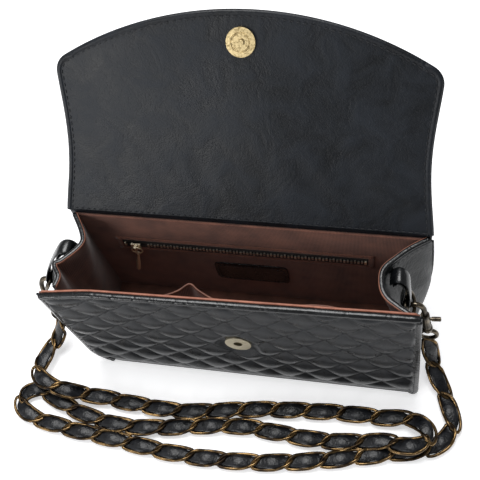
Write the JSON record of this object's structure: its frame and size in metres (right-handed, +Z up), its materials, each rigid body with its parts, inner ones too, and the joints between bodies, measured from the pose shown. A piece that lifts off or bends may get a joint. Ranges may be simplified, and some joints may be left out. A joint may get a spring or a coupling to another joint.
{
  "type": "crossbody purse",
  "caption": "Quilted leather crossbody flap bag with an open fold-over flap, magnetic snap, inner zip pocket and a leather-woven chain strap on D-rings.",
  "frame": {"origin": "middle of the bag's base, on the surface that it stands on", "axes": "+Z up; -Y out of the front wall; +X to the bag's left-hand side seen from inside, so to the right seen from the front"},
  "size_m": [0.3202, 0.214, 0.2246],
  "materials": {
    "quilted_leather": "black quilted soft leather, semi-gloss",
    "gusset_leather": "black smooth leather",
    "flap_lining": "smooth blue-black leather lining",
    "edge_leather": "black glossy edge leather",
    "piping": "brown piping",
    "fabric_lining": "brown woven fabric",
    "stiffener": "grey board",
    "antique_brass": "antique brass, brushed",
    "dark_bronze": "dark antique bronze, polished",
    "zip_metal": "pale brass",
    "zip_tape": "black woven tape",
    "magnet": "sintered magnet",
    "spring_steel": "bright wire",
    "strap_leather": "black leather strip in a dark bronze chain"
  },
  "bodies": {
    "bag": {"front_panel": "quilted_leather", "back_panel": "quilted_leather", "back_board": "stiffener", "back_lining": "fabric_lining", "front_lining": "fabric_lining", "base_panel": "gusset_leather", "base_board": "stiffener", "base_lining": "fabric_lining", "left_gusset": "gusset_leather", "right_gusset": "gusset_leather", "left_gusset_lining": "fabric_lining", "right_gusset_lining": "fabric_lining", "left_gusset_piping": "piping", "right_gusset_piping": "piping", "front_rolled_edge": "edge_leather", "front_side_bindings": "edge_leather", "back_side_bindings": "edge_leather", "snap_socket": "zip_metal", "snap_magnet": "magnet", "zip_welt": "fabric_lining", "zip_tapes": "zip_tape", "zip_teeth": "zip_metal", "zip_stops": "zip_metal", "label_patch": "edge_leather", "slip_pocket": "fabric_lining", "strap": "strap_leather", "left_tab": "edge_leather", "left_hook": "dark_bronze", "left_bolt_spring": "spring_steel", "right_tab": "edge_leather", "right_hook": "dark_bronze", "right_bolt_spring": "spring_steel"},
    "flap_top": {"flap_top_leather": "quilted_leather", "flap_top_lining": "flap_lining"},
    "flap_front": {"flap_front_leather": "quilted_leather", "flap_front_lining": "flap_lining", "snap_stud": "antique_brass", "snap_stud_washer": "zip_metal"},
    "zip_slider": {"zip_slider": "zip_metal"},
    "zip_ring": {"zip_pull_ring": "zip_metal"},
    "zip_pull": {"zip_pull": "zip_metal"},
    "left_dring": {"left_dring": "dark_bronze"},
    "left_bolt": {"left_bolt": "dark_bronze"},
    "left_swivel": {"left_swivel": "dark_bronze"},
    "right_dring": {"right_dring": "dark_bronze"},
    "right_bolt": {"right_bolt": "dark_bronze"},
    "right_swivel": {"right_swivel": "dark_bronze"}
  },
  "joints": [
    {"name": "flap_hinge", "type": "hinge", "parent": "bag", "child": "flap_top", "pos_m": [0, 0.027, 0.1152], "axis": [1, 0, 0], "range_deg": [-50, 126.3]},
    {"name": "flap_fold", "type": "hinge", "parent": "flap_top", "child": "flap_front", "pos_m": [0, 0.06375, 0.16514], "axis": [1, 0, 0], "range_deg": [-36, 89]},
    {"name": "zip_slide", "type": "slide", "parent": "bag", "child": "zip_slider", "axis": [1, 0, 0], "range_m": [0, 0.155]},
    {"name": "zip_ring_swing", "type": "hinge", "parent": "zip_slider", "child": "zip_ring", "pos_m": [-0.082, 0.02425, 0.07586], "axis": [1, 0, 0], "range_deg": [-85, 0]},
    {"name": "zip_pull_swing", "type": "hinge", "parent": "zip_ring", "child": "zip_pull", "pos_m": [-0.082, 0.02452, 0.06806], "axis": [1, 0, 0], "range_deg": [-90, 0]},
    {"name": "left_dring_swing", "type": "hinge", "parent": "bag", "child": "left_dring", "pos_m": [-0.1345, -0.007, 0.0834], "axis": [0, -1, 0], "range_deg": [-2, 4]},
    {"name": "left_bolt_slide", "type": "slide", "parent": "bag", "child": "left_bolt", "axis": [-0.175, -0.232, -0.9569], "range_m": [0, 0.004], "stiffness_N_per_m": 150, "springref_m": -0.002, "deforming": ["left_bolt_spring"]},
    {"name": "left_swivel_turn", "type": "hinge", "parent": "bag", "child": "left_swivel", "pos_m": [-0.13558, -0.00723, 0.07106], "axis": [0.175, 0.232, 0.9569], "range_deg": [-40, 40]},
    {"name": "right_dring_swing", "type": "hinge", "parent": "bag", "child": "right_dring", "pos_m": [0.108, -0.004, 0.0902], "axis": [0, 1, 0], "range_deg": [-3, 3]},
    {"name": "right_bolt_slide", "type": "slide", "parent": "bag", "child": "right_bolt", "axis": [0.155, -0.06, -0.9861], "range_m": [0, 0.004], "stiffness_N_per_m": 150, "springref_m": -0.002, "deforming": ["right_bolt_spring"]},
    {"name": "right_swivel_turn", "type": "hinge", "parent": "bag", "child": "right_swivel", "pos_m": [0.11993, -0.00395, 0.07955], "axis": [-0.155, 0.06, 0.9861], "range_deg": [-40, 40]}
  ],
  "couplings": [
    {"joint": "flap_fold", "follows": "flap_hinge", "ratio": 0.7007}
  ]
}
